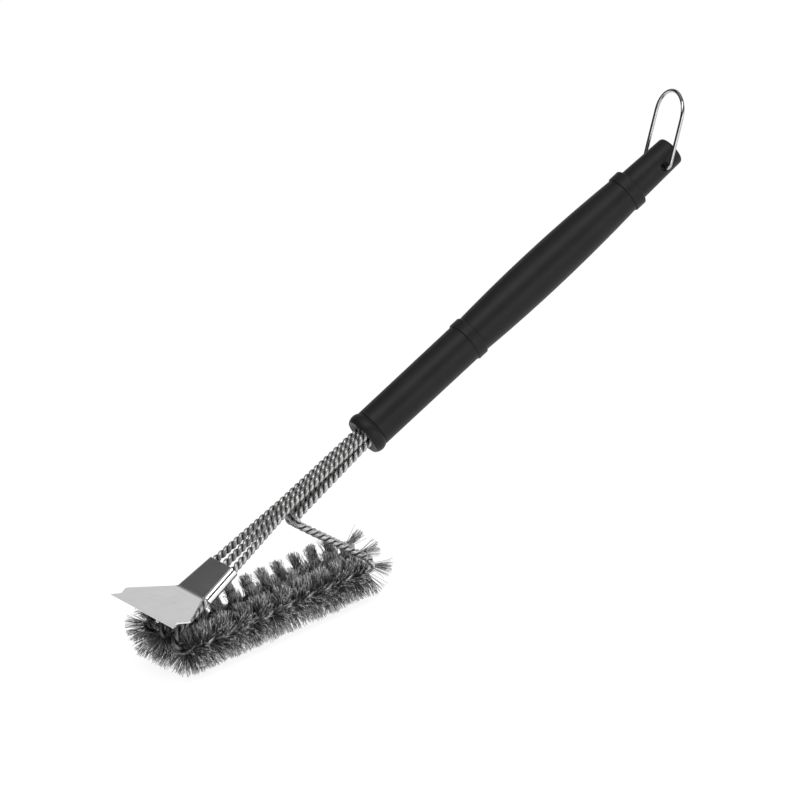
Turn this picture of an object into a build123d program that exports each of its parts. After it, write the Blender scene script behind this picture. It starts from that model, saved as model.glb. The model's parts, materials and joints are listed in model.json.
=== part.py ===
"""Grill cleaning brush: three twisted-wire bristle rows, a stamped scraper and a long hollow handle.

Millimetres.  X runs from the head towards the butt of the handle, Y across the head, Z up.  The bristle
rows lie level on Z = 0, and the origin is on that plane under the middle of the bristle block.
"""
from build123d import *
from math import acos, atan2, cos, hypot, pi, radians, sin, sqrt, tan
import os

os.makedirs("parts", exist_ok=True)

# ---- head: bristle rows ----
bristle_radius = 15.5  # from a row's axis to its bristle tips
row_length = 124.0  # straight part of a twisted core
row_spacing = 16.6
tuft_root_width = 1.6
tuft_tip_width = 10.0  # a tuft spreads towards its tips
tuft_twist_length = 27.8  # one full left-handed turn of the two spiral ranks of tufts
tufts_per_turn = 10
first_tuft_angle = 21.0  # of the left row's first tuft, from level up
row_angle_step = 108.0  # from one row's first tuft to the next row's
tuft_front_inset = 1.0  # bare core at the front of a row
tuft_rear_inset = 8.0  # bare core at the rear, under the rising strut
row_gap = 0.3  # between the tips of neighbouring rows
tuft_seat = 0.05  # from the core's skin to the root of a tuft

# ---- twisted wire pairs ----
pair_radius = 2.45  # outside radius of two strands twisted together
pair_sides = 12  # sides of the bar that stands for the strands
pair_gap = 0.05  # between neighbouring pairs in the bundle
loop_radius = 8.2  # front loop, at the wire's axis
loop_entry_angle = 22.2  # slope of the wire as it runs into its front loop
loop_run = 12.0  # level-sided run before the front loop
fan_radius = 30.0  # gentle bends where the pairs spread
knee_radius = 4.2  # bend at the rear end of a row
knee_lead = 0.3  # level run behind a row, before its knee
junction_radius = 4.5  # bend where a strut turns into its tail

# ---- handle, placed by the centre of its front face ----
handle_tilt = 20.4
handle_face_x = 88.5
handle_face_z = 89.7
fan_start = 62.0  # ahead of the face, where the pairs start to spread
strut_top = 67.5  # ahead of the face, where the struts turn into their tails
tail_bend = 3.0  # ahead of the face, where the tails bend away from the stems
tail_drop = 4.0  # how far the tails have sunk below the stems at the struts
wire_depth = 55.0  # how far the wires reach into the handle

bolster_length = 8.2
bolster_radius = 13.4
bolster_rim_radius = 12.0  # at both ends of the bead
bolster_dish_depth = 2.6
nose_radius = 8.4  # anchor nose that shows in the bolster's dish
front_radius = 12.35
front_rear_radius = 12.5
front_length = 77.6
front_edge = 0.4  # makes a groove behind the bolster
anchor_bore = 10.0
sleeve_bore = 8.5
spigot_length = 13.0
spigot_radius = 10.4
ring_step = 0.85  # a ring stands this proud of the surface in front of it
ring_seat_depth = 0.6
ring_edge = 0.5
mid_ring_length = 7.0
grip_length = 127.6
grip_front_radius = 12.3
grip_swell_radius = 13.8
grip_swell_at = 57.0  # behind the mid ring
grip_rear_radius = 11.65
grip_rear_bore = 8.8
rear_ring_length = 7.6
butt_spigot_length = 16.0
butt_front_radius = 10.2
butt_rear_radius = 9.2
butt_length = 34.5
butt_edge = 2.2
fit_gap = 0.05  # radial clearance of assembled pieces

# ---- hanging loop ----
loop_wire_radius = 1.2
loop_hole_gap = 0.08
loop_hole_from_end = 13.0
loop_half_width = 14.65
loop_height = 45.3
loop_foot_radius = 2.8
loop_foot_inset = 4.2  # from the handle's middle to the cut end of the wire
loop_angle = 39.0  # above the handle's axis
crown_flat = 0.2  # straight wire between the two bends of the crown
recess_radius = 2.8
recess_depth = 1.4

# ---- scraper ----
sheet = 1.0
collar_start = 54.0  # behind the start of the fan, along the wires
collar_length = 24.8
collar_flange = 5.0
collar_gap = 0.05
bend_radius = 6.0
blade_tilt = 25.8
blade_length = 32.2
blade_root_width = 35.2
blade_width = 81.0
blade_widest = 21.0
notch_width = 70.0
notch_at = 27.1
tip_inset = 1.0  # the front corners are this much inside the widest points
corner_radius = 1.4
burr_radius = 0.3

rows = {"left": -1, "middle": 0, "right": 1}
handle_slope = radians(handle_tilt)
handle_frame = Plane(
    origin=(handle_face_x, 0, handle_face_z),
    x_dir=(cos(handle_slope), 0, sin(handle_slope)),
    z_dir=(-sin(handle_slope), 0, cos(handle_slope)),
)
handle_side = Plane(origin=handle_frame.origin, x_dir=handle_frame.x_dir, z_dir=(0, -1, 0))
handle_axis = Axis(handle_frame.origin, handle_frame.x_dir)
pair_pitch = 2 * pair_radius + pair_gap
core_height = bristle_radius


def on_handle(along, across, above):
    """A point given along the handle's axis from its front face, across it and above it."""
    return handle_frame.from_local_coords(Vector(along, across, above))


def save(piece, name):
    piece.part.label = name
    export_step(piece.part, f"parts/{name}.step")


# stations along the handle's axis
sleeve_end = bolster_length + front_length
grip_start = sleeve_end + mid_ring_length
grip_end = grip_start + grip_length
rear_ring_end = grip_end + rear_ring_length
handle_end = rear_ring_end + butt_length
hole_at = handle_end - loop_hole_from_end

# the front loop ends on the row's axis and starts on the line of the spread wires
entry = radians(loop_entry_angle)
loop_centre = Vector(-row_length / 2, 0, core_height + loop_radius)
loop_start = loop_centre + Vector(-sin(entry), 0, cos(entry)) * loop_radius
fan_end = loop_start + Vector(cos(entry), 0, sin(entry)) * loop_run

# the plane of the spread wires, from the start of the fan towards the head
fan_origin = on_handle(-fan_start, 0, pair_pitch / 2)
fan_vector = fan_end - fan_origin
fan_run = fan_vector.length
fan_direction = fan_vector.normalized()
fan_up = Vector(fan_direction.Z, 0, -fan_direction.X)
collar_frame = Plane(
    origin=fan_origin + fan_direction * collar_start, x_dir=fan_direction, z_dir=fan_up
)
spread_slope = (row_spacing - pair_pitch) / fan_run


def outer_wire_y(along_collar):
    """How far the outer wires are from the middle, at a distance along the collar."""
    return pair_pitch + (collar_start + along_collar) * spread_slope


# ---- wires: each row's twisted pair, as a bar of the pair's outside width ----
def bent_line(points, radii):
    """A path through points, each of its corners rounded to a radius in turn."""
    with BuildLine() as path:
        start = points[0]
        for before, corner, after, radius in zip(points, points[1:], points[2:], radii):
            arriving = (corner - before).normalized()
            leaving = (after - corner).normalized()
            half_turn = radians(arriving.get_angle(leaving)) / 2
            setback = radius * tan(half_turn)
            inside = (leaving - arriving).normalized() * radius * (1 / cos(half_turn) - 1)
            Line(start, corner - arriving * setback)
            ThreePointArc(corner - arriving * setback, corner + inside, corner + leaving * setback)
            start = corner + leaving * setback
        Line(start, points[-1])
    return path.line


def knee_corner(core_end, junction):
    """Where the level run and the strut would cross, for a knee that turns into the strut."""
    back = junction.X - core_end.X - knee_lead
    above = hypot(junction.Y - core_end.Y, junction.Z - core_end.Z) - knee_radius
    turn = atan2(back, -above) - acos(knee_radius / hypot(back, above))
    return core_end + Vector(knee_lead + knee_radius * tan(turn / 2), 0, 0)


def wire(path, name):
    """A bar with a twisted pair's section, along a path of straight runs and tangent arcs."""
    with BuildPart() as piece:
        with BuildSketch(Plane(origin=path @ 0, z_dir=path % 0)):
            RegularPolygon(radius=pair_radius, side_count=pair_sides)
        sweep(path=path)
    save(piece, name)


def loop_point(turned_by, row_y):
    """A point on a front loop, by how far the wire has turned since the loop's start."""
    angle = radians(90 + loop_entry_angle + turned_by)
    return loop_centre + Vector(loop_radius * cos(angle), row_y, loop_radius * sin(angle))


for side, step in rows.items():
    row_y = step * row_spacing
    pair_y = step * pair_pitch
    loop_turn = 180 - loop_entry_angle

    stem_run = bent_line(
        [
            on_handle(wire_depth, pair_y, pair_pitch / 2),
            on_handle(-fan_start, pair_y, pair_pitch / 2),
            fan_end + Vector(0, row_y, 0),
            loop_point(0, row_y),
        ],
        [fan_radius, fan_radius],
    )
    with BuildLine() as stem_path:
        add(stem_run)
        ThreePointArc(*[loop_point(turn, row_y) for turn in (0, loop_turn / 2, loop_turn)])
    wire(stem_path.line, f"{side}_stem")

    core_start = Vector(-row_length / 2, row_y, core_height)
    core_end = Vector(row_length / 2, row_y, core_height)
    with BuildLine() as core_path:
        Line(core_start, core_end)
    wire(core_path.line, f"{side}_core")

    junction = on_handle(-strut_top, pair_y, -pair_pitch / 2 - tail_drop)
    strut_run = bent_line(
        [
            core_end,
            knee_corner(core_end, junction),
            junction,
            on_handle(-tail_bend, pair_y, -pair_pitch / 2),
            on_handle(wire_depth, pair_y, -pair_pitch / 2),
        ],
        [knee_radius, junction_radius, fan_radius],
    )
    wire(strut_run, f"{side}_strut")


# ---- bristles: two ranks of tufts spiral round each core, held between its strands ----
tuft_advance = tuft_twist_length / tufts_per_turn
bristle_run = row_length - tuft_front_inset - tuft_rear_inset
tuft_count = int(bristle_run / tuft_advance)
tuft_root = pair_radius + tuft_seat
tuft_shoulder = sqrt(bristle_radius**2 - (tuft_tip_width / 2) ** 2)
tuft_outline = [
    (tuft_root, -tuft_root_width / 2),
    (tuft_shoulder, -tuft_tip_width / 2),
    (tuft_shoulder, tuft_tip_width / 2),
    (tuft_root, tuft_root_width / 2),
]


def tuft_plane(number, rank, step):
    """The plane a tuft starts on, its X axis pointing from the core to the tips."""
    turn = radians(first_tuft_angle + (step + 1) * row_angle_step)
    turn -= 2 * pi * number / tufts_per_turn
    out = Vector(0, cos(turn), sin(turn)) * (1 - 2 * rank)
    start_x = -row_length / 2 + tuft_front_inset + number * tuft_advance
    return Plane(origin=(start_x, step * row_spacing, core_height), x_dir=out, z_dir=(1, 0, 0))


for side, step in rows.items():
    row_y = step * row_spacing
    with BuildPart() as bristles:
        for rank in range(2):
            for number in range(tuft_count):
                with BuildSketch(tuft_plane(number, rank, step)):
                    with BuildLine():
                        Polyline(*tuft_outline, close=True)
                    make_face()
        extrude(amount=tuft_advance)
        for neighbour in (step - 1, step + 1):
            if neighbour in rows.values():
                towards = neighbour - step
                limit_y = row_y + towards * (row_spacing - row_gap) / 2
                split(bisect_by=Plane(origin=(0, limit_y, 0), z_dir=(0, -towards, 0)))
    save(bristles, f"{side}_bristles")


# ---- handle ----
with BuildPart() as front_bolster:
    with BuildSketch(handle_side):
        with BuildLine():
            Polyline(
                (0, bolster_rim_radius),
                (bolster_dish_depth, nose_radius + fit_gap),
                (bolster_length, nose_radius + fit_gap),
                (bolster_length, bolster_rim_radius),
            )
            ThreePointArc(
                (bolster_length, bolster_rim_radius),
                (bolster_length / 2, bolster_radius),
                (0, bolster_rim_radius),
            )
        make_face()
    revolve(axis=handle_axis)
save(front_bolster, "front_bolster")

with BuildPart() as front_sleeve:
    with BuildSketch(handle_side):
        with BuildLine():
            Polyline(
                (bolster_length, anchor_bore),
                (bolster_length, front_radius - front_edge),
                (bolster_length + front_edge, front_radius),
                (sleeve_end, front_rear_radius),
                (sleeve_end, spigot_radius),
                (sleeve_end + spigot_length, spigot_radius),
                (sleeve_end + spigot_length, sleeve_bore),
                (wire_depth, sleeve_bore),
                (wire_depth, anchor_bore),
                close=True,
            )
        make_face()
    revolve(axis=handle_axis)
save(front_sleeve, "front_sleeve")

with BuildPart() as wire_anchor:
    with BuildSketch(handle_side):
        with BuildLine():
            Polyline(
                (bolster_dish_depth, 0),
                (bolster_dish_depth, nose_radius),
                (bolster_length, nose_radius),
                (bolster_length, anchor_bore - fit_gap),
                (wire_depth, anchor_bore - fit_gap),
                (wire_depth, 0),
                close=True,
            )
        make_face()
    revolve(axis=handle_axis)
    with BuildSketch(Plane(origin=handle_frame.origin, x_dir=(0, 1, 0), z_dir=handle_frame.x_dir)):
        with GridLocations(pair_pitch, pair_pitch, 3, 2):
            Circle(pair_radius + pair_gap / 4)
    extrude(amount=wire_depth, mode=Mode.SUBTRACT)
save(wire_anchor, "wire_anchor")

ring_seat_radius = grip_front_radius - ring_seat_depth
with BuildPart() as main_grip:
    with BuildSketch(handle_side):
        with BuildLine():
            Polyline(
                (grip_end, grip_rear_radius),
                (grip_end, grip_rear_bore),
                (grip_end - butt_spigot_length, grip_rear_bore),
                (sleeve_end + spigot_length, spigot_radius + fit_gap),
                (sleeve_end, spigot_radius + fit_gap),
                (sleeve_end, ring_seat_radius),
                (grip_start, ring_seat_radius),
                (grip_start, grip_front_radius),
            )
            swell = (grip_start + grip_swell_at, grip_swell_radius)
            TangentArc(swell, (grip_start, grip_front_radius), tangent=(-1, 0))
            TangentArc(swell, (grip_end, grip_rear_radius), tangent=(1, 0))
        make_face()
    revolve(axis=handle_axis)
save(main_grip, "main_grip")


def ring(start, length, bore, radius, name):
    """A band round the handle, its outer edges chamfered."""
    with BuildPart() as band:
        with BuildSketch(Plane(origin=on_handle(start, 0, 0), z_dir=handle_frame.x_dir)):
            Circle(radius)
            Circle(bore, mode=Mode.SUBTRACT)
        extrude(amount=length)
        outer_edges = band.edges().filter_by(GeomType.CIRCLE).sort_by(SortBy.RADIUS)[-2:]
        chamfer(outer_edges, ring_edge)
    save(band, name)


mid_ring_radius = front_rear_radius + ring_step
rear_ring_radius = grip_rear_radius + ring_step
rear_seat_radius = butt_front_radius
ring(sleeve_end, mid_ring_length, ring_seat_radius + fit_gap, mid_ring_radius, "mid_ring")
ring(grip_end, rear_ring_length, rear_seat_radius + fit_gap, rear_ring_radius, "rear_ring")

with BuildPart() as butt_cap:
    with BuildSketch(handle_side):
        with BuildLine():
            Polyline(
                (grip_end - butt_spigot_length, 0),
                (grip_end - butt_spigot_length, grip_rear_bore - fit_gap),
                (grip_end, grip_rear_bore - fit_gap),
                (grip_end, rear_seat_radius),
                (rear_ring_end, rear_seat_radius),
                (handle_end, butt_rear_radius),
                (handle_end, 0),
                close=True,
            )
        make_face()
    revolve(axis=handle_axis)
    end_edge = butt_cap.edges().filter_by(GeomType.CIRCLE).sort_by(handle_axis)[-1]
    fillet(end_edge, butt_edge)
    with BuildSketch(Plane(origin=on_handle(hole_at, 0, 0), z_dir=(0, 1, 0))):
        Circle(loop_wire_radius + loop_hole_gap)
    extrude(amount=butt_front_radius, both=True, mode=Mode.SUBTRACT)
    for side_sign in (-1, 1):
        recess_floor = Plane(
            origin=on_handle(hole_at, side_sign * (butt_rear_radius - recess_depth), 0),
            z_dir=(0, side_sign, 0),
        )
        with BuildSketch(recess_floor):
            Circle(recess_radius)
        extrude(amount=butt_front_radius, mode=Mode.SUBTRACT)
save(butt_cap, "butt_cap")

# ---- hanging loop: bent wire, its feet turned in to the cross hole ----
loop_plane = Plane(
    origin=on_handle(hole_at, 0, 0),
    x_dir=(0, 1, 0),
    z_dir=Vector(0, 1, 0).cross(
        Vector(cos(handle_slope + radians(loop_angle)), 0, sin(handle_slope + radians(loop_angle)))
    ),
)
crown_radius = loop_half_width - crown_flat / 2
with BuildPart() as hanging_loop:
    with BuildLine(loop_plane) as loop_path:
        FilletPolyline(
            (-loop_foot_inset, 0),
            (-loop_half_width, 0),
            (-loop_half_width, loop_height),
            (loop_half_width, loop_height),
            (loop_half_width, 0),
            (loop_foot_inset, 0),
            radius=[loop_foot_radius, crown_radius, crown_radius, loop_foot_radius],
        )
    with BuildSketch(Plane(origin=loop_path.line @ 0, z_dir=loop_path.line % 0)):
        RegularPolygon(radius=loop_wire_radius, side_count=pair_sides)
    sweep(path=loop_path.line)
save(hanging_loop, "hanging_loop")

# ---- scraper: one stamping, its collar rolled round the outer wires ----
inner_radius = pair_radius + collar_gap
outer_radius = inner_radius + sheet
plate_height = inner_radius + sheet / 2
bend_end_x = collar_length + bend_radius * sin(radians(blade_tilt))
blade_rise = cos(radians(blade_tilt))
widest_x = bend_end_x + blade_widest * blade_rise
notch_x = bend_end_x + notch_at * blade_rise
tip_x = bend_end_x + blade_length * blade_rise
collar_end = Plane(origin=collar_frame.origin + fan_direction * collar_length, z_dir=fan_direction)

with BuildPart() as collar_rolls:
    for side_sign in (-1, 1):
        roll_plane = Plane(
            origin=collar_frame.origin + Vector(0, side_sign * outer_wire_y(0), 0),
            x_dir=Vector(0, side_sign, 0) - fan_direction * spread_slope,
            z_dir=fan_direction + Vector(0, side_sign * spread_slope, 0),
        )
        with BuildSketch(roll_plane):
            Circle(outer_radius)
            with Locations((-outer_radius, 0)):
                Rectangle(2 * outer_radius, 2 * outer_radius, mode=Mode.SUBTRACT)
            for face_sign in (-1, 1):
                with Locations((-collar_flange / 2, face_sign * plate_height)):
                    Rectangle(collar_flange, sheet)
            Circle(inner_radius, mode=Mode.SUBTRACT)
        extrude(amount=2 * collar_length, both=True)
    split(bisect_by=Plane(origin=collar_frame.origin, z_dir=fan_direction), keep=Keep.TOP)
    split(bisect_by=collar_end, keep=Keep.BOTTOM)

with BuildPart() as scraper:
    side_view = Plane(origin=collar_frame.origin, x_dir=fan_direction, z_dir=(0, 1, 0))
    with BuildSketch(side_view):
        with BuildLine():
            top = Line((0, plate_height), (collar_length, plate_height))
            bend = JernArc(top @ 1, top % 1, bend_radius, blade_tilt)
            Line(bend @ 1, bend @ 1 + (bend % 1) * blade_length)
        trace(line_width=sheet)
    extrude(amount=blade_width, both=True)
    with BuildSketch(collar_frame):
        with BuildLine() as half_outline:
            Line((0, 0), (0, outer_wire_y(0)))
            Line((0, outer_wire_y(0)), (collar_length, outer_wire_y(collar_length)))
            FilletPolyline(
                (collar_length, outer_wire_y(collar_length)),
                (bend_end_x, blade_root_width / 2),
                (widest_x, blade_width / 2),
                (notch_x, notch_width / 2),
                (tip_x, blade_width / 2 - tip_inset),
                (tip_x, 0),
                radius=[corner_radius, corner_radius, corner_radius, burr_radius],
            )
            Line((tip_x, 0), (0, 0))
        make_face()
        mirror(about=Plane.XZ)
    extrude(amount=2 * blade_length, both=True, mode=Mode.INTERSECT)
    add(collar_rolls.part)
save(scraper, "scraper")
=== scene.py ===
import json
from math import acos, atan2, cos, hypot, pi, radians, sin, tan, tau

import bpy
import numpy as np
from mathutils import Matrix, Vector


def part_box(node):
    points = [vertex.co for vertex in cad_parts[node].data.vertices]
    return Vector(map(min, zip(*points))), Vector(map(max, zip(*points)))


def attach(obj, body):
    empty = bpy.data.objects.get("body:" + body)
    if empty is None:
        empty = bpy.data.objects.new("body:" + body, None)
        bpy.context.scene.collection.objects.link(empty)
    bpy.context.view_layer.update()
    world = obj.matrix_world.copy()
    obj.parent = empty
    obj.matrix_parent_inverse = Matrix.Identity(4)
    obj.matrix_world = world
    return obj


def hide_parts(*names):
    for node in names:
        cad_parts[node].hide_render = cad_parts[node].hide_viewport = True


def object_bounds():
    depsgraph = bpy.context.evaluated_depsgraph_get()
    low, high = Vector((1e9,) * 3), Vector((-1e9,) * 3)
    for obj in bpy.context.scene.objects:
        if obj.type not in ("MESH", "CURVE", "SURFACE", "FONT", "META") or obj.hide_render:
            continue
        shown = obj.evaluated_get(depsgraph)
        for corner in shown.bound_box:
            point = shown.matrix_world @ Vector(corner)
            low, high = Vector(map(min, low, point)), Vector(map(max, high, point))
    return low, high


# Looks of a three-row grill cleaning brush.  Metres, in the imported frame's own axes: X runs from the head
# to the butt of the handle, Y across the head, Z up, and the floor is Z = 0.

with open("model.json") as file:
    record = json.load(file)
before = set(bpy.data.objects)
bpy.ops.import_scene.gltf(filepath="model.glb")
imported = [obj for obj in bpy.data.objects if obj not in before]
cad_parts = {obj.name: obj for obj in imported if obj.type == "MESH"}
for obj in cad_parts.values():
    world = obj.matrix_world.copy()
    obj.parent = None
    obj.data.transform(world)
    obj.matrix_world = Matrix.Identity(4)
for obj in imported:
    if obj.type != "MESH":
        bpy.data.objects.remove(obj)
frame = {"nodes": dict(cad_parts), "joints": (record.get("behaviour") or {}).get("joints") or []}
cad_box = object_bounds()
MM = 0.001
rng = np.random.default_rng(20)

# ---- wires ----
TIGHT_PITCH = {"left": 8.2 * MM, "middle": 8.35 * MM, "right": 8.15 * MM}  # a turn of a stem's strands
STRUT_PITCH = 8.7 * MM
LOOP_PITCH = 14 * MM
FAN_PITCH = {"left": 27.8 * MM, "middle": 26 * MM, "right": 23.2 * MM}  # slow twist that holds bristles
FAN_PHASE = {"left": radians(52), "middle": radians(160), "right": radians(122)}  # first tufts, from level up
PITCH_CHANGE = 8 * MM  # length over which one pitch turns into the next
STRAND_STEP = 0.55 * MM
STRAND_SIDES = 12
STRAND_PRESS = 1.05  # strands are pressed a little into each other
LOOP_ENTRY = radians(22.2)  # rise of the wire where it enters the front loop
LOOP_RUN = 12 * MM  # straight wire before the front loop
LOOP_POINTS = 50
FAN_START = 62 * MM  # where the stems begin to part, from the handle's face
FAN_RADIUS = 30 * MM
KNEE_LEAD = 0.3 * MM
KNEE_RADIUS = 4.2 * MM
STRUT_TOP = 67.5 * MM  # where the struts meet the tails, from the handle's face
TAIL_DROP = 4 * MM  # how far the tails have sunk below the stems at the struts
TAIL_BEND = 3 * MM
JUNCTION_RADIUS = 4.5 * MM
PAIR_GAP = 0.05 * MM
SHOWN_WIRE_DEPTH = 14 * MM  # how far the strands are modelled into the handle
# painted shadow of the blade on the twisted wires: deepest at the first place, gone at the second
BLADE_SHADE_DEEPEST, BLADE_SHADE_GONE = -5 * MM, 17 * MM  # along X from the front of the rows

# ---- bristles ----
BRISTLE_RADIUS = 0.14 * MM
BRISTLE_BENDS = 4  # straight stretches in each bristle
BRISTLE_BOW = 0.45 * MM
CLUMPS_PER_MM = 8.5  # of each rank
CLUMP_SIZE = 3  # bristles that cling together
FAN_SPREAD = {"left": radians(52), "middle": radians(30), "right": radians(22)}  # each way from a rank
CLUMP_LEAN = radians(13)
CLUMP_SPREAD = radians(5)
ROOT_SPREAD = 0.8 * MM  # across the strands
ROOT_SCATTER = 0.25 * MM  # along them, in one clump
ROOT_OUT = 0.3 * MM
SLIDE = {"left": 2.4 * MM, "middle": 1.9 * MM, "right": 1.5 * MM}  # how far along the row a clump leans
BRISTLE_SLIDE = 0.6 * MM
SLIDE_COST = 0.6  # share of a lean along the row that comes off the reach
USUAL_REACH, LONGEST_REACH = 0.98, 1.03  # of the tufts' radius
SHORTEST_REACH = 8 * MM
CLUMP_UNEVENNESS, BRISTLE_UNEVENNESS = 0.04, 0.05
FRONT_TURN = {"left": radians(45), "middle": radians(100), "right": radians(150)}  # bristles round the loop
FRONT_INWARD = {"left": 0.25, "middle": 0.7, "right": 0.7}  # how far bristles may point into the loop
REAR_SPLAY = 9 * MM  # stretch at the rear where bristles lean backwards
REAR_SLIDE = 1.2 * MM
REAR_TURN = {"left": radians(60), "middle": radians(90), "right": radians(112)}  # stray tuft on the knee
STRAY_BRISTLES = 52
STRAY_SCATTER = 0.5 * MM
STRAY_WIDTHS = (radians(6), 1.2 * MM, 1.8 * MM, 0.6 * MM)  # lean, slide, shortness, place across
CLUMP_TONE, STRAY_TONE = (0.15, 0.12), (0.3, 0.15)  # mean and spread
TONE_SPREAD = 0.25  # between the bristles of a clump
# painted highlight at the bristles' cut tips, where they catch the light
TIP_HIGHLIGHT = 0.35  # added at the cut tip
WIRE_CLEARANCE = 0.15 * MM
FLOOR_CLEARANCE = 0.3 * MM
BLADE_CLEARANCE = 0.6 * MM
REAR_OBSTACLE = 45 * MM  # length of strut that bristles can meet
STRUT_SHADE = 36 * MM  # height up to which a strut stands over bristles
STRUT_ROOM = 3.4 * MM  # from a strut's middle line straight down to the bristles under it

# ---- hanging loop ----
LOOP_WIRE_RADIUS = 1.2 * MM
LOOP_WIRE_SIDES = 20
LOOP_WIRE_STEP = 0.45 * MM
LOOP_ARC_STEP = 0.4 * MM
LOOP_END_TAPER = 0.2 * MM
LOOP_FOOT_INSET = 4.2 * MM
LOOP_FOOT_RADIUS = 2.8 * MM
LOOP_CROWN_SHARE = 0.995  # just short of half the width, so that the crown's two arcs don't meet

ACROSS = np.array((0.0, 1.0, 0.0))


# ---------------------------------------------------------------- frame
def vertices_of(node):
    mesh = frame["nodes"][node].data
    points = np.empty(len(mesh.vertices) * 3)
    mesh.vertices.foreach_get("co", points)
    return points.reshape(-1, 3)


def middle_of(node):
    low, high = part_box(node)
    return (low + high) / 2


handle_axis = (middle_of("rear_ring") - middle_of("mid_ring")).normalized()
handle_up = Vector((-handle_axis.z, 0, handle_axis.x))
axis_point = middle_of("mid_ring")
face_station = (vertices_of("front_bolster") @ np.array(handle_axis)).min()
handle_face = axis_point + handle_axis * (face_station - axis_point.dot(handle_axis))
row_side = {"left": -1, "middle": 0, "right": 1}
core_low, core_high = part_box("middle_core")
pair_radius = (core_high.y - core_low.y) / 2
strand_radius = pair_radius / 2
pair_pitch = 2 * pair_radius + PAIR_GAP
core_height = middle_of("middle_core").z
row_front, row_rear = core_low.x, core_high.x
loop_radius = row_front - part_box("middle_stem")[0].x - pair_radius
bristle_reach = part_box("middle_bristles")[1].z - core_height
blade_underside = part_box("scraper")[0].z
loop_pivot = Vector(frame["joints"][0]["pos_m"])


def on_handle(along, across, above):
    """A point by its place along the handle's axis from the front face, across it and above it."""
    return handle_face + handle_axis * along + Vector((0, across, 0)) + handle_up * above


# ---------------------------------------------------------------- meshes
def make_mesh(name, points, faces, material, smooth=True, uvs=None, tones=None):
    mesh = bpy.data.meshes.new(name)
    mesh.vertices.add(len(points))
    mesh.vertices.foreach_set("co", np.asarray(points, np.float32).ravel())
    sizes = np.array([len(face) for face in faces], np.int32)
    loops = np.concatenate([np.asarray(face, np.int32) for face in faces])
    mesh.loops.add(len(loops))
    mesh.loops.foreach_set("vertex_index", loops)
    mesh.polygons.add(len(faces))
    mesh.polygons.foreach_set("loop_start", np.concatenate(([0], np.cumsum(sizes)[:-1])).astype(np.int32))
    mesh.polygons.foreach_set("loop_total", sizes)
    mesh.update(calc_edges=True)
    mesh.validate()
    mesh.polygons.foreach_set("use_smooth", np.full(len(mesh.polygons), smooth))
    if uvs is not None:
        layer = mesh.uv_layers.new(name="wire")
        layer.data.foreach_set("uv", np.asarray(uvs, np.float32)[loops].ravel())
    if tones is not None:
        layer = mesh.attributes.new("tone", "FLOAT", "POINT")
        layer.data.foreach_set("value", np.asarray(tones, np.float32))
    mesh.materials.append(material)
    piece = bpy.data.objects.new(name, mesh)
    bpy.context.scene.collection.objects.link(piece)
    return piece


def unit(vectors):
    return vectors / np.linalg.norm(vectors, axis=-1, keepdims=True)


def frames_along(points, reference):
    """Tangents, and two normals that stay as near as they can to a reference direction."""
    tangents = unit(np.gradient(points, axis=0))
    first = np.broadcast_to(reference, points.shape)
    first = unit(first - np.sum(first * tangents, axis=1, keepdims=True) * tangents)
    return tangents, first, np.cross(tangents, first)


def tube(points, radius, sides, reference, start_index=0, end_taper=0.0):
    """Points, faces and UVs of a closed round bar along points.  U runs along it in metres."""
    count = len(points)
    _, first, second = frames_along(points, reference)
    around = np.arange(sides) * tau / sides
    radii = np.full(count, radius)
    if end_taper:
        radii[[0, -1]] -= end_taper
    ring = first[:, None] * np.cos(around)[:, None] + second[:, None] * np.sin(around)[:, None]
    skin = (points[:, None] + ring * radii[:, None, None]).reshape(-1, 3)
    length = np.concatenate(([0], np.cumsum(np.linalg.norm(np.diff(points, axis=0), axis=1))))
    uv = np.stack(np.broadcast_arrays(length[:, None], around / tau), axis=-1).reshape(-1, 2)
    step, side = np.meshgrid(np.arange(count - 1), np.arange(sides), indexing="ij")
    next_side = (side + 1) % sides
    quads = np.stack(
        [step * sides + side, step * sides + next_side, (step + 1) * sides + next_side,
         (step + 1) * sides + side], axis=-1,
    ).reshape(-1, 4) + start_index
    caps = [np.arange(sides)[::-1] + start_index, np.arange(sides) + (count - 1) * sides + start_index]
    return skin, list(quads) + caps, uv


def rounded_route(corners, radii, step):
    """Evenly spaced points along straight runs joined by tangent arcs."""
    corners = [np.array(corner, float) for corner in corners]
    route = [corners[0]]
    for before, corner, after, radius in zip(corners, corners[1:], corners[2:], radii):
        back, ahead = unit(before - corner), unit(after - corner)
        half = acos(np.clip(back @ ahead, -1, 1)) / 2
        if pi / 2 - half < 1e-4:
            continue
        centre = corner + unit(back + ahead) * radius / sin(half)
        first, last = corner + back * radius / tan(half), corner + ahead * radius / tan(half)
        turn = pi - 2 * half
        bends = max(int(turn * radius / step), 6)
        for share in np.linspace(0, 1, bends + 1):
            arm = sin((1 - share) * turn) * (first - centre) + sin(share * turn) * (last - centre)
            route.append(centre + arm / sin(turn))
    route.append(corners[-1])
    return np.array(route)


def evenly(route, step):
    spans = np.linalg.norm(np.diff(route, axis=0), axis=1)
    route = route[np.concatenate(([True], spans > 1e-9))]
    length = np.concatenate(([0], np.cumsum(np.linalg.norm(np.diff(route, axis=0), axis=1))))
    at = np.linspace(0, length[-1], int(length[-1] / step) + 1)
    return np.stack([np.interp(at, length, route[:, axis]) for axis in range(3)], axis=1)


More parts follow.
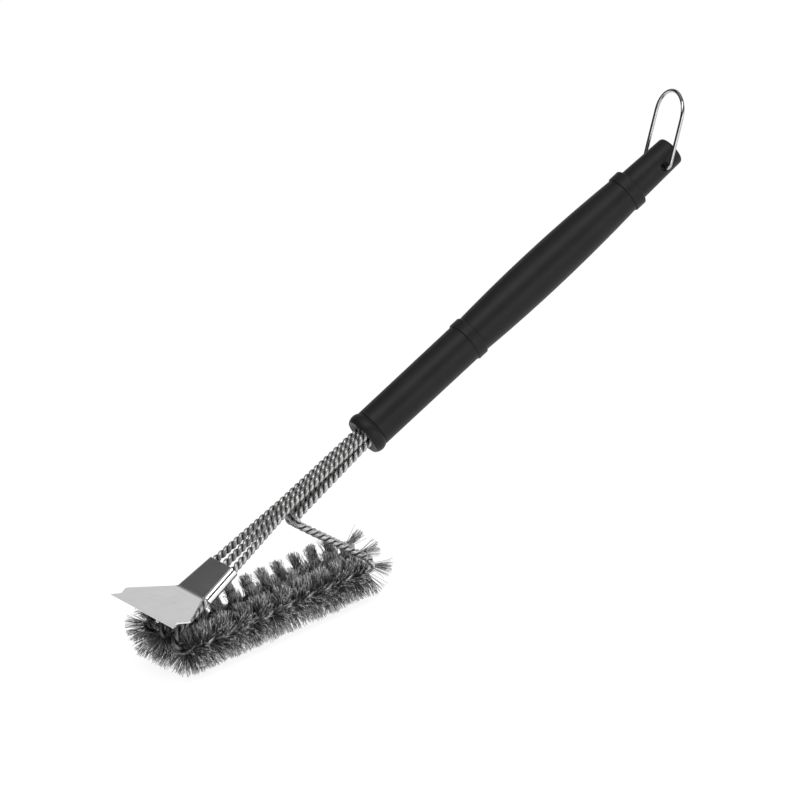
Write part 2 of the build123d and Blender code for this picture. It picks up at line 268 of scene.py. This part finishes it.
# ---------------------------------------------------------------- shader help
class Shading:
    """A node tree, with a short call for each kind of node that the finishes need."""

    def __init__(self, tree):
        self.tree = tree

    def feed(self, socket, value):
        """Links another node's output to a socket, or sets the socket's own value."""
        if isinstance(value, bpy.types.NodeSocket):
            self.tree.links.new(value, socket)
        else:
            socket.default_value = value

    def node(self, kind, inputs=None, **settings):
        made = self.tree.nodes.new(kind)
        for name, value in settings.items():
            setattr(made, name, value)
        for socket, value in (inputs or {}).items():
            self.feed(made.inputs[socket], value)
        return made

    def surface(self, inputs):
        """Feeds the material's principled shader."""
        shader = self.tree.nodes["Principled BSDF"]
        for socket, value in inputs.items():
            self.feed(shader.inputs[socket], value)

    def place(self):
        return self.node("ShaderNodeTexCoord").outputs["Object"]

    def tone(self):
        return self.node("ShaderNodeAttribute", attribute_name="tone").outputs["Fac"]

    def math(self, operation, *values):
        return self.node("ShaderNodeMath", dict(enumerate(values)), operation=operation).outputs["Value"]

    def facing(self, direction, way):
        """The cosine of the angle between two directions."""
        made = self.node("ShaderNodeVectorMath", {0: direction, 1: way}, operation="DOT_PRODUCT")
        return made.outputs["Value"]

    def mix(self, data_type, factor, first, second):
        made = self.node("ShaderNodeMix", data_type=data_type)
        for socket, value in (("Factor", factor), ("A", first), ("B", second)):
            self.feed(made.inputs[socket], value)
        return made.outputs["Result"]

    def noise(self, place, scale, detail=3.0, rough=0.5):
        inputs = {"Vector": place, "Scale": scale, "Detail": detail, "Roughness": rough}
        return self.node("ShaderNodeTexNoise", inputs).outputs["Fac"]

    def stretched(self, place, scale):
        return self.node("ShaderNodeMapping", {"Vector": place, "Scale": scale}).outputs["Vector"]

    def ramp(self, factor, stops):
        """A colour that follows the factor through stops of place and grey level or colour."""
        made = self.node("ShaderNodeValToRGB", {"Fac": factor})
        elements = made.color_ramp.elements
        while len(elements) < len(stops):
            elements.new(0.5)
        for element, (place, colour) in zip(elements, stops):
            element.position = place
            element.color = (*colour, 1) if isinstance(colour, tuple) else (colour, colour, colour, 1)
        return made.outputs["Color"]

    def spread(self, value, low, high):
        """Stretches a value between 0 and 1 to run from low to high."""
        inputs = {"Value": value, "To Min": low, "To Max": high}
        return self.node("ShaderNodeMapRange", inputs).outputs["Result"]

    def band(self, value, low, high, at_low, at_high):
        """A smooth change from one level to another as a value rises from low to high."""
        inputs = {"Value": value, "From Min": low, "From Max": high, "To Min": at_low, "To Max": at_high}
        made = self.node("ShaderNodeMapRange", inputs, interpolation_type="SMOOTHSTEP")
        return made.outputs["Result"]

    def bump(self, height, strength, distance):
        inputs = {"Height": height, "Strength": strength, "Distance": distance}
        return self.node("ShaderNodeBump", inputs)


def new_material(name):
    material = bpy.data.materials.new(name)
    material.use_nodes = True
    return material, Shading(material.node_tree)


# ---------------------------------------------------------------- materials
def moulded_plastic(name, shade, roughness, painted_reflection_facing=None):
    """Black moulded plastic: a fine spark grain, faint clouding and slightly polished high spots.

    Faces that look along the given direction get a paler colour with a coarse grain, a painted reflection of
    a bright surround.
    """
    material, shading = new_material(name)
    place = shading.place()
    colour = shading.ramp(shading.noise(place, 60, 4), [(0.3, shade * 0.88), (0.7, shade * 1.14)])
    if painted_reflection_facing is not None:
        normal = shading.node("ShaderNodeTexCoord").outputs["Normal"]
        # painted reflection: faces turned the given way get a paler colour with a coarse grain
        painted_reflection_mask = shading.ramp(shading.facing(normal, painted_reflection_facing), [(0.58, 0.0), (0.78, 1.0)])
        skin = shading.ramp(shading.noise(place, 1300, 4, 0.7), [(0.35, shade * 9), (0.65, shade * 30)])
        colour = shading.mix("RGBA", painted_reflection_mask, colour, skin)
    shading.surface({
        "Base Color": colour,
        "Roughness": shading.spread(shading.noise(place, 240, 4), roughness - 0.05, roughness + 0.06),
        "Normal": shading.bump(shading.noise(place, 2600, 2), 0.22, 0.06 * MM).outputs["Normal"],
        "Specular IOR Level": 0.2,
    })
    return material


def drawn_wire(name, shade, roughness, dirt):
    """Steel wire with fine draw lines along it and patchy film, painted shade in the grooves between its
    strands and painted shadow of the blade in front.

    The tone is 1 on the outside of the twisted pair and falls to -1 where the strands meet.
    """
    material, shading = new_material(name)
    along = shading.node("ShaderNodeUVMap", uv_map="wire").outputs["UV"]
    lines = shading.noise(shading.stretched(along, (120, 22, 1)), 1.0, 4, 0.6)
    film = shading.noise(shading.place(), 420, 5, 0.6)
    filmed = tuple(shade * dirt * tint for tint in (1.02, 1.0, 0.97))
    unshaded_colour = shading.ramp(shading.math("MULTIPLY", lines, film), [(0.12, filmed), (0.34, shade)])
    along_head = shading.node("ShaderNodeSeparateXYZ", {"Vector": shading.place()}).outputs["X"]
    # painted shade under the blade, darkest at the front loops
    painted_blade_shade = shading.band(along_head, row_front + BLADE_SHADE_DEEPEST, row_front + BLADE_SHADE_GONE, 0.3, 1.0)
    # painted shade in the grooves where the two strands meet
    painted_groove_shade = shading.band(shading.tone(), 0.05, 0.55, 0.35, 1.0)
    shaded_colour = shading.node("ShaderNodeVectorMath", operation="SCALE")
    shading.feed(shaded_colour.inputs[0], unshaded_colour)
    shading.feed(shaded_colour.inputs["Scale"], shading.math("MULTIPLY", painted_blade_shade, painted_groove_shade))
    shading.surface({
        "Base Color": shaded_colour.outputs["Vector"],
        "Roughness": shading.spread(film, roughness - 0.08, roughness + 0.14),
        "Normal": shading.bump(lines, 0.25, 0.03 * MM).outputs["Normal"],
        "Metallic": 0.8,
    })
    return material


def bristle_steel():
    """Hard-drawn bristle wire.  Each bristle has its own tone, and a painted highlight makes it brighter
    towards the tip than at the root.
    """
    material, shading = new_material("bristle_wire")
    flecks = shading.noise(shading.place(), 1500, 2)
    level = shading.math("MULTIPLY_ADD", flecks, 0.35, shading.tone())
    shading.surface({
        "Base Color": shading.ramp(level, [(0.1, (0.045, 0.044, 0.043)), (0.45, 0.17), (1.0, 0.95)]),
        "Roughness": shading.spread(flecks, 0.3, 0.5),
        "Metallic": 0.4,
    })
    return material


def brushed_sheet():
    """Stamped stainless sheet: fine lines across the blade, faint stains and edges that catch the light."""
    material, shading = new_material("brushed_sheet")
    place = shading.place()
    lines = shading.noise(shading.stretched(place, (4200, 90, 4200)), 1.0, 4, 0.65)
    rounded = shading.node("ShaderNodeBevel", {"Radius": 0.25 * MM}, samples=6).outputs["Normal"]
    grain = shading.bump(lines, 0.05, 0.02 * MM)
    shading.feed(grain.inputs["Normal"], rounded)
    shading.surface({
        "Base Color": shading.ramp(lines, [(0.25, 0.77), (0.75, 0.93)]),
        "Roughness": shading.spread(shading.noise(place, 55, 4, 0.55), 0.17, 0.25),
        "Normal": grain.outputs["Normal"],
        "Metallic": 1.0,
    })
    return material


def plated_wire():
    """Bright plated wire of the hanging loop, with fine rub marks."""
    material, shading = new_material("plated_wire")
    rubs = shading.noise(shading.stretched(shading.place(), (900, 900, 250)), 1.0, 4, 0.6)
    shading.surface({
        "Base Color": shading.ramp(rubs, [(0.3, 0.42), (0.6, 0.56)]),
        "Roughness": shading.spread(rubs, 0.12, 0.2),
        "Normal": shading.bump(rubs, 0.05, 0.01 * MM).outputs["Normal"],
        "Metallic": 1.0,
    })
    return material


plastic = moulded_plastic("handle_plastic_satin", 0.014, 0.48)
# the bolster's front face gets a painted reflection
bolster_plastic = moulded_plastic("bolster_plastic_satin", 0.014, 0.48, -handle_axis)
anchor_plastic = moulded_plastic("anchor_plastic_matt", 0.03, 0.55)
wire_steel = drawn_wire("twisted_wire", 0.7, 0.37, 0.45)
bristle_wire = bristle_steel()
sheet_steel = brushed_sheet()
loop_plating = plated_wire()


def finish_node(name, material):
    """Gives a CAD node its finish."""
    shown = frame["nodes"][name]
    shown.data.materials.clear()
    shown.data.materials.append(material)


for name in ("front_sleeve", "mid_ring", "main_grip", "rear_ring", "butt_cap"):
    finish_node(name, plastic)
finish_node("front_bolster", bolster_plastic)
finish_node("wire_anchor", anchor_plastic)
finish_node("scraper", sheet_steel)


# ---------------------------------------------------------------- twisted wires
def knee_corner(row_y, junction):
    """Where the level run and the strut would cross, for a knee that turns into the strut."""
    back = junction.x - row_rear - KNEE_LEAD
    above = hypot(junction.y - row_y, junction.z - core_height) - KNEE_RADIUS
    turn = atan2(back, -above) - acos(KNEE_RADIUS / hypot(back, above))
    return row_rear + KNEE_LEAD + KNEE_RADIUS * tan(turn / 2), row_y, core_height


def row_route(side):
    """The middle line of a row's twisted pair in three stretches: stem with its front loop, core, strut."""
    row_y = middle_of(f"{side}_core").y
    pair_y = row_side[side] * pair_pitch
    loop_centre = Vector((row_front, row_y, core_height + loop_radius))

    def on_loop(turn):
        angle = pi / 2 + LOOP_ENTRY + turn
        return loop_centre + Vector((loop_radius * cos(angle), 0, loop_radius * sin(angle)))

    loop_start = on_loop(0)
    fan_end = loop_start + Vector((cos(LOOP_ENTRY), 0, sin(LOOP_ENTRY))) * LOOP_RUN
    stem = rounded_route(
        [on_handle(SHOWN_WIRE_DEPTH, pair_y, pair_pitch / 2), on_handle(-FAN_START, pair_y, pair_pitch / 2),
         fan_end, loop_start],
        [FAN_RADIUS, FAN_RADIUS], STRAND_STEP,
    )
    loop = np.array([on_loop(turn) for turn in np.linspace(0, pi - LOOP_ENTRY, LOOP_POINTS)])
    core = np.array([(row_front, row_y, core_height), (row_rear, row_y, core_height)])
    junction = on_handle(-STRUT_TOP, pair_y, -pair_pitch / 2 - TAIL_DROP)
    strut = rounded_route(
        [(row_rear, row_y, core_height), knee_corner(row_y, junction), junction,
         on_handle(-TAIL_BEND, pair_y, -pair_pitch / 2),
         on_handle(SHOWN_WIRE_DEPTH, pair_y, -pair_pitch / 2)],
        [KNEE_RADIUS, JUNCTION_RADIUS, FAN_RADIUS], STRAND_STEP,
    )
    return [evenly(part, STRAND_STEP) for part in (np.concatenate([stem, loop]), core, strut)]


def smooth_step(value, low, high):
    share = np.clip((value - low) / (high - low), 0, 1)
    return share * share * (3 - 2 * share)


def row_twist(side):
    """A row's whole wire: points, two normals, strand angles, and the lengths that part stem, core, strut."""
    stem, core, strut = row_route(side)
    route = np.concatenate([stem, core[1:], strut[1:]])
    length = np.concatenate(([0], np.cumsum(np.linalg.norm(np.diff(route, axis=0), axis=1))))
    parts = [len(stem), len(stem) + len(core) - 1]
    core_begins, core_ends = length[parts[0] - 1], length[parts[1] - 1]
    entry_begins = core_begins - loop_radius * (pi - LOOP_ENTRY) - PITCH_CHANGE / 2
    stem_turns, loop_turns = 1 / TIGHT_PITCH[side], 1 / LOOP_PITCH
    fan_turns, strut_turns = 1 / FAN_PITCH[side], 1 / STRUT_PITCH
    turns = (
        stem_turns
        + (loop_turns - stem_turns) * smooth_step(length, entry_begins, entry_begins + PITCH_CHANGE)
        + (fan_turns - loop_turns) * smooth_step(length, core_begins - PITCH_CHANGE, core_begins)
        + (strut_turns - fan_turns) * smooth_step(length, core_ends, core_ends + PITCH_CHANGE)
    )
    angle = -tau * np.concatenate(([0], np.cumsum((turns[1:] + turns[:-1]) / 2 * np.diff(length))))
    angle += FAN_PHASE[side] + pi / 2 - angle[parts[0] - 1]
    tangents, first, second = frames_along(route, ACROSS)
    return {"route": route, "length": length, "angle": angle, "parts": parts, "tangents": tangents,
            "first": first, "second": second, "core_begins": core_begins, "core_ends": core_ends}


twists = {side: row_twist(side) for side in row_side}


def twisted_row(side):
    """Three pieces of one continuous twisted pair, which replace the row's stem, core and strut.

    Each point's tone says how far it faces out of the pair, from 1 on a crest to -1 in a groove; the finish
    paints shade into the grooves by it.
    """
    twist = twists[side]
    angle = twist["angle"][:, None]
    strands = [
        twist["route"]
        + strand_radius * (twist["first"] * np.cos(angle + half) + twist["second"] * np.sin(angle + half))
        for half in (0, pi)
    ]
    cuts = [0, *twist["parts"], len(twist["route"])]
    radius = strand_radius * STRAND_PRESS
    for number, part in enumerate(("stem", "core", "strut")):
        points, faces, uvs, crests = [], [], [], []
        start = 0
        cut = slice(max(cuts[number] - 1, 0), cuts[number + 1])
        for strand in strands:
            skin, skin_faces, skin_uv = tube(strand[cut], radius, STRAND_SIDES, ACROSS, start)
            outward = unit(strand[cut] - twist["route"][cut]).repeat(STRAND_SIDES, axis=0)
            crests.append(np.sum(unit(skin - strand[cut].repeat(STRAND_SIDES, axis=0)) * outward, axis=1))
            points.append(skin)
            faces += skin_faces
            uvs.append(skin_uv)
            start += len(skin)
        piece = make_mesh(f"{side}_{part}_strands", np.concatenate(points), faces, wire_steel,
                          uvs=np.concatenate(uvs), tones=np.concatenate(crests))
        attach(piece, "brush")
        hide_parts(f"{side}_{part}")


for side in row_side:
    twisted_row(side)


# ---------------------------------------------------------------- bristles
def bristle_mesh(paths, tones):
    """Closed three-sided wires along paths, with a painted highlight towards their cut tips."""
    count = len(paths)
    along = unit(paths[:, -1] - paths[:, 0])
    helper = np.where(np.abs(along[:, :1]) < 0.8, np.array([[1.0, 0, 0]]), np.array([[0, 1.0, 0]]))
    first = unit(np.cross(along, helper))
    second = np.cross(along, first)
    spin = rng.uniform(0, tau, count)
    corners = []
    for corner in range(3):
        angle = (spin + corner * tau / 3)[:, None]
        corners.append(first * np.cos(angle) + second * np.sin(angle))
    ring = np.stack(corners, axis=1) * BRISTLE_RADIUS
    points = (paths[:, :, None] + ring[:, None]).reshape(-1, 3)
    per_bristle = 3 * (BRISTLE_BENDS + 1)
    pattern = []
    for bend in range(BRISTLE_BENDS):
        for corner in range(3):
            other = (corner + 1) % 3
            low, high = bend * 3, (bend + 1) * 3
            pattern.append((low + corner, low + other, high + other, high + corner))
    starts = np.arange(count) * per_bristle
    quads = (np.array(pattern)[None] + starts[:, None, None]).reshape(-1, 4)
    root_caps = np.stack([starts + 2, starts + 1, starts], axis=1)
    ends = starts + per_bristle
    tip_caps = np.stack([ends - 3, ends - 2, ends - 1], axis=1)
    # painted highlight: each bristle brightens towards its cut tip
    tone = tones[:, None] + TIP_HIGHLIGHT * np.linspace(0, 1, BRISTLE_BENDS + 1) ** 3
    return points, list(quads) + list(root_caps) + list(tip_caps), np.repeat(tone, 3, axis=1).ravel()


def obstacles_for(side):
    """Points along every wire that a row's bristles have to pass round.  Every second one is enough."""
    found = []
    for other, twist in twists.items():
        length = twist["length"]
        front = twist["core_begins"] - loop_radius * pi - LOOP_RUN
        near = (length > front) & (length < twist["core_ends"] + REAR_OBSTACLE)
        if other == side:
            near &= (length < twist["core_begins"]) | (length > twist["core_ends"])
        found.append(twist["route"][near][::2])
    return np.concatenate(found)


def pushed_clear(paths, obstacles):
    """Moves bristles off the wires that they would run through, off the floor and out of the blade.

    Each point is moved twice, because the first move can bring it near another wire.
    """
    reach = pair_radius + WIRE_CLEARANCE
    for bend in range(2, BRISTLE_BENDS + 1):
        for _ in range(2):
            point = paths[:, bend]
            gaps = point[:, None] - obstacles[None]
            distance = np.linalg.norm(gaps, axis=2)
            nearest = distance.argmin(axis=1)
            rows = np.arange(len(point))
            short = distance[rows, nearest]
            hit = short < reach
            away = gaps[rows, nearest] / np.maximum(short, 1e-9)[:, None]
            paths[hit, bend] = (obstacles[nearest] + away * reach)[hit]
    height = paths[:, :, 2]
    height[:] = np.maximum(height, FLOOR_CLEARANCE)
    ahead = paths[:, :, 0] < row_front
    height[ahead] = np.minimum(height[ahead], blade_underside - BLADE_CLEARANCE)
    return paths


def under_strut(paths, twist):
    """Trims the bristles that stand under the row's strut so that they end at its underside."""
    strut = twist["route"][(twist["length"] > twist["core_ends"]) & (twist["route"][:, 2] < STRUT_SHADE)]
    order = np.argsort(strut[:, 0])
    tips = paths[:, -1]
    room = np.interp(tips[:, 0], strut[order, 0], strut[order, 2]) - STRUT_ROOM - core_height
    rise = tips[:, 2] - core_height
    below = (tips[:, 0] > strut[:, 0].min()) & (tips[:, 0] < row_rear) & (rise > np.maximum(room, 0))
    share = np.where(below, np.maximum(room, 1 * MM) / np.maximum(rise, 1 * MM), 1.0)
    return paths[:, :1] + (paths - paths[:, :1]) * share[:, None, None]


def grown(twist, at, out_angle, lean, slide, reach, aside):
    """Straight bristles from places along a twisted pair, leaning round it and along it.

    Gives roots, tips and how far each bristle points into the front loop.
    """
    def here(key):
        return np.stack([np.interp(at, twist["length"], twist[key][:, axis]) for axis in range(3)], axis=1)

    place = here("route")
    along, first, second = (unit(here(key)) for key in ("tangents", "first", "second"))
    out = first * np.cos(out_angle)[:, None] + second * np.sin(out_angle)[:, None]
    beside = second * np.cos(out_angle)[:, None] - first * np.sin(out_angle)[:, None]
    roots = place + out * ROOT_OUT + beside * aside[:, None]
    flat_reach = np.sqrt(np.maximum(reach ** 2 - slide ** 2 * SLIDE_COST, SHORTEST_REACH ** 2))
    tips = place + (out * np.cos(lean)[:, None] + beside * np.sin(lean)[:, None]) * flat_reach[:, None]
    tips += along * slide[:, None]
    inward = np.sum((tips - roots) * second, axis=1) / np.linalg.norm(tips - roots, axis=1)
    return roots, tips, inward


def rank_bristles(side):
    """Two spiral ranks of bristles in clumps, carried on round the front loop: roots, tips and tones."""
    twist = twists[side]
    begins = twist["core_begins"] - loop_radius * FRONT_TURN[side]
    ends = twist["core_ends"]
    per_rank = int((ends - begins) / MM * CLUMPS_PER_MM)
    clumps = 2 * per_rank
    clump_of = np.repeat(np.arange(clumps), CLUMP_SIZE)
    count = len(clump_of)
    at = rng.uniform(begins, ends, clumps)[clump_of] + rng.normal(0, ROOT_SCATTER, count)
    rank = np.repeat((0, pi), per_rank)[clump_of]
    offset = rng.uniform(-1, 1, clumps)[clump_of]
    lean = FAN_SPREAD[side] * offset + rng.normal(0, CLUMP_LEAN, clumps)[clump_of]
    slide = rng.normal(0, SLIDE[side], clumps)[clump_of] + rng.normal(0, BRISTLE_SLIDE, count)
    unevenness = rng.normal(0, CLUMP_UNEVENNESS, clumps)[clump_of]
    unevenness = unevenness - np.abs(rng.normal(0, BRISTLE_UNEVENNESS, count))
    reach = bristle_reach * np.minimum(USUAL_REACH + unevenness, LONGEST_REACH)
    slide += np.clip(1 - (ends - at) / REAR_SPLAY, 0, 1) * rng.uniform(0, REAR_SLIDE, count)
    out_angle = np.interp(at, twist["length"], twist["angle"]) - pi / 2 + rank
    lean += rng.normal(0, CLUMP_SPREAD, count)
    roots, tips, inward = grown(twist, at, out_angle, lean, slide, reach, offset * ROOT_SPREAD)
    tones = rng.normal(*CLUMP_TONE, clumps)[clump_of] + rng.normal(0, TONE_SPREAD, count)
    keep = (at > twist["core_begins"]) | (inward < FRONT_INWARD[side])
    return roots[keep], tips[keep], tones[keep]


def stray_bristles(side):
    """The stray tuft on the knee at the rear of a row: roots, tips and tones."""
    twist = twists[side]
    at = np.full(STRAY_BRISTLES, twist["core_ends"] + KNEE_LEAD + KNEE_RADIUS * REAR_TURN[side])
    at += rng.normal(0, STRAY_SCATTER, STRAY_BRISTLES)
    lean, slide, shorter, aside = (rng.normal(0, width, STRAY_BRISTLES) for width in STRAY_WIDTHS)
    roots, tips, _ = grown(twist, at, np.full(STRAY_BRISTLES, -pi / 2), lean, slide,
                           bristle_reach - np.abs(shorter), aside)
    return roots, tips, rng.normal(*STRAY_TONE, STRAY_BRISTLES)


def row_bristles(side):
    """All of a row's bristles as one piece, each a little bowed."""
    roots, tips, tones = (np.concatenate(both) for both in zip(rank_bristles(side), stray_bristles(side)))
    share = np.linspace(0, 1, BRISTLE_BENDS + 1)[None, :, None]
    bows = rng.normal(0, BRISTLE_BOW, (len(tips), 1, 3)) * share ** 2 * (1 - share) * 4
    paths = roots[:, None] * (1 - share) + tips[:, None] * share + bows
    paths = pushed_clear(under_strut(paths, twists[side]), obstacles_for(side))
    points, faces, tone = bristle_mesh(paths, np.clip(tones, 0, 1))
    piece = make_mesh(f"{side}_bristle_wires", points, faces, bristle_wire, tones=tone)
    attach(piece, "brush")
    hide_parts(f"{side}_bristles")


for side in row_side:
    row_bristles(side)


# ---------------------------------------------------------------- hanging loop
def hanging_loop():
    """Round wire bent to a long U, its feet turned in to the cross hole."""
    half_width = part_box("hanging_loop")[1].y - LOOP_WIRE_RADIUS
    arms = vertices_of("hanging_loop") - np.array(loop_pivot)
    tip = arms[np.argmax(np.hypot(arms[:, 0], arms[:, 2]))]
    direction = Vector((tip[0], 0, tip[2])).normalized()
    height = np.hypot(tip[0], tip[2]) - LOOP_WIRE_RADIUS
    crown = half_width * LOOP_CROWN_SHARE

    def at(across, up):
        return loop_pivot + Vector((0, across, 0)) + direction * up

    route = rounded_route(
        [at(-LOOP_FOOT_INSET, 0), at(-half_width, 0), at(-half_width, height), at(half_width, height),
         at(half_width, 0), at(LOOP_FOOT_INSET, 0)],
        [LOOP_FOOT_RADIUS, crown, crown, LOOP_FOOT_RADIUS], LOOP_ARC_STEP,
    )
    across_loop = np.array(direction.cross(Vector((0, 1, 0))))
    skin, faces, _ = tube(evenly(route, LOOP_WIRE_STEP), LOOP_WIRE_RADIUS, LOOP_WIRE_SIDES, across_loop,
                          end_taper=LOOP_END_TAPER)
    piece = make_mesh("hanging_loop_wire", skin, faces, loop_plating)
    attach(piece, "loop")
    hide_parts("hanging_loop")


hanging_loop()


# ---------------------------------------------------------------- stage
def shown_to(shading, *kinds):
    """1 for rays of these kinds, 0 for the others."""
    rays = shading.node("ShaderNodeLightPath").outputs
    shown = rays[kinds[0]]
    for kind in kinds[1:]:
        shown = shading.math("MAXIMUM", shown, rays[kind])
    return shown


def floor():
    """A pale floor that keeps the object's soft shadow, near white to the camera and in reflections."""
    half = 3.0
    points = [(-half, -half, 0), (half, -half, 0), (half, half, 0), (-half, half, 0)]
    material, shading = new_material("floor_white")
    shading.tree.nodes.remove(shading.tree.nodes["Principled BSDF"])
    pale = shading.node("ShaderNodeBsdfDiffuse", {"Color": (0.6, 0.6, 0.6, 1)})
    faint = shading.node("ShaderNodeBsdfDiffuse", {"Color": (0.2, 0.2, 0.2, 1)})
    glow = shading.node("ShaderNodeEmission", {"Strength": 0.89})
    white = shading.node("ShaderNodeAddShader", {0: faint.outputs[0], 1: glow.outputs[0]})
    seen = shown_to(shading, "Is Camera Ray", "Is Glossy Ray", "Is Transmission Ray")
    chosen = shading.node("ShaderNodeMixShader", {0: seen, 1: pale.outputs[0], 2: white.outputs[0]})
    shading.feed(shading.tree.nodes["Material Output"].inputs["Surface"], chosen.outputs[0])
    make_mesh("floor", points, [(0, 1, 2, 3)], material, smooth=False)


floor()


def studio_world():
    """White to the camera; a bright low surround and a dark ceiling to what reflects; even fill light."""
    world = bpy.data.worlds.new("studio")
    bpy.context.scene.world = world
    world.use_nodes = True
    world.node_tree.nodes.clear()
    shading = Shading(world.node_tree)
    direction = shading.node("ShaderNodeTexCoord").outputs["Generated"]
    split = shading.node("ShaderNodeSeparateXYZ", {"Vector": direction}).outputs
    behind = shading.band(split["Y"], -0.4, 0.3, 0.3, 1.0)
    dark_left = shading.band(shading.facing(direction, (0.865, -0.502, 0)), -0.75, -0.3, 0.05, 1.0)
    half_dark = shading.band(split["Z"], 0.36, 0.53, 1.0, 0.27)
    overhead = shading.band(split["Z"], 0.64, 0.8, 0.0, 0.35)
    ceiling = shading.math("MULTIPLY_ADD", half_dark, half_dark, overhead)
    studio = shading.math("MULTIPLY", shading.math("MULTIPLY", behind, dark_left), ceiling)
    light = shading.mix("FLOAT", shown_to(shading, "Is Diffuse Ray"), studio, 0.5)
    seen = shown_to(shading, "Is Camera Ray", "Is Transmission Ray")
    level = shading.mix("FLOAT", seen, light, 1.0)
    background = shading.node("ShaderNodeBackground", {"Strength": level})
    shading.node("ShaderNodeOutputWorld", {"Surface": background.outputs[0]})


studio_world()


def softbox(name, direction, distance, size, power):
    """A rectangular lamp at a distance from the middle of the object, facing it."""
    low, high = cad_box
    target = (low + high) / 2
    lamp = bpy.data.lights.new(name, "AREA")
    lamp.shape = "RECTANGLE"
    lamp.size, lamp.size_y = size
    lamp.energy = power
    holder = bpy.data.objects.new(name, lamp)
    way = Vector(direction).normalized()
    holder.location = target + way * distance
    holder.rotation_euler = (-way).to_track_quat("-Z", "Y").to_euler()
    bpy.context.scene.collection.objects.link(holder)


softbox("top_softbox", (-0.1, -0.33, 0.94), 1.6, (1.8, 0.5), 14)
softbox("front_softbox", (0.2, -0.97, 0.12), 1.8, (1.6, 0.5), 8)


# ---------------------------------------------------------------- camera
def camera():
    """The photographer's view: from the front left and above, with the camera rolled to its right."""
    azimuth, elevation, roll = radians(-24.69), radians(22.41), radians(13.99)
    distance, lens = 6.0004, 450
    target = Vector((0.11831, 0, 0.10218))
    back = Vector((sin(azimuth) * cos(elevation), -cos(azimuth) * cos(elevation), sin(elevation)))
    data = bpy.data.cameras.new("camera")
    data.lens = lens
    data.sensor_width = 36
    data.clip_start, data.clip_end = 0.1, 100
    holder = bpy.data.objects.new("camera", data)
    upright = (-back).to_track_quat("-Z", "Y").to_matrix()
    turned = upright @ Matrix.Rotation(-roll, 3, "Z")
    holder.matrix_world = Matrix.Translation(target + back * distance) @ turned.to_4x4()
    bpy.context.scene.collection.objects.link(holder)
    bpy.context.scene.camera = holder


camera()
bpy.context.scene.view_settings.view_transform = "Standard"
